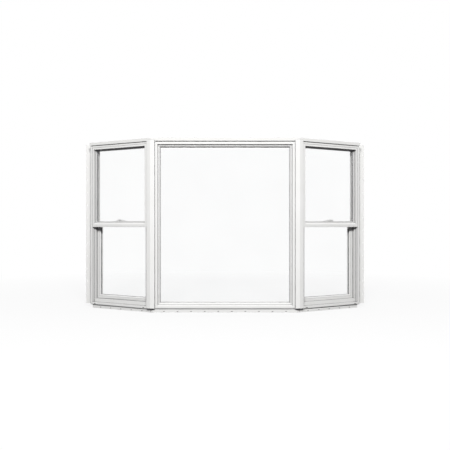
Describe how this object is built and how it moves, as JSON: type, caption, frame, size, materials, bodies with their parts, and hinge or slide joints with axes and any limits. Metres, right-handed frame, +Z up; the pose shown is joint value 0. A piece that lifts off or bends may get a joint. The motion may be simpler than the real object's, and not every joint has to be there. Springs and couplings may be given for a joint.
{
  "type": "bay window",
  "caption": "Angled bay window with a fixed centre light between single-hung side lights, folded corner post covers, seat and head boards, and slotted wall flanges.",
  "frame": {"origin": "centre of the seat board's underside, at the wall's outside plane, which is the back of the wall flanges", "axes": "+X to the right seen from outside, +Y into the room, +Z up"},
  "size_m": [2.2464, 0.4976, 1.3115],
  "materials": {
    "white_vinyl": "satin",
    "white_flashing": "satin",
    "clear_glass": "polished",
    "spacer_bar": "matte",
    "primed_board": "primed",
    "lock_white": "satin",
    "grey_seal": "matte",
    "zinc_screw": "satin"
  },
  "bodies": {
    "root": {"centre_bead": "white_vinyl", "centre_frame": "white_vinyl", "centre_glass": "clear_glass", "centre_sill_fin": "white_vinyl", "centre_spacer": "spacer_bar", "head_board": "primed_board", "head_flashing": "white_flashing", "left_frame": "white_vinyl", "left_jamb_board": "primed_board", "left_lock_keeper": "lock_white", "left_lower_bead": "white_vinyl", "left_lower_glass": "clear_glass", "left_lower_sash": "white_vinyl", "left_lower_spacer": "spacer_bar", "left_mull_post": "white_vinyl", "left_post_cover": "white_vinyl", "left_post_trim": "white_vinyl", "left_sash_lock": "lock_white", "left_sill_fin": "white_vinyl", "left_tilt_latches": "lock_white", "left_upper_bead": "white_vinyl", "left_upper_glass": "clear_glass", "left_upper_sash": "white_vinyl", "left_upper_spacer": "spacer_bar", "left_wall_flange": "white_vinyl", "right_frame": "white_vinyl", "right_jamb_board": "primed_board", "right_lock_keeper": "lock_white", "right_lower_bead": "white_vinyl", "right_lower_glass": "clear_glass", "right_lower_sash": "white_vinyl", "right_lower_spacer": "spacer_bar", "right_mull_post": "white_vinyl", "right_post_cover": "white_vinyl", "right_post_trim": "white_vinyl", "right_sash_lock": "lock_white", "right_sill_fin": "white_vinyl", "right_tilt_latches": "lock_white", "right_upper_bead": "white_vinyl", "right_upper_glass": "clear_glass", "right_upper_sash": "white_vinyl", "right_upper_spacer": "spacer_bar", "right_wall_flange": "white_vinyl", "seat_board": "primed_board"}
  },
  "joints": []
}
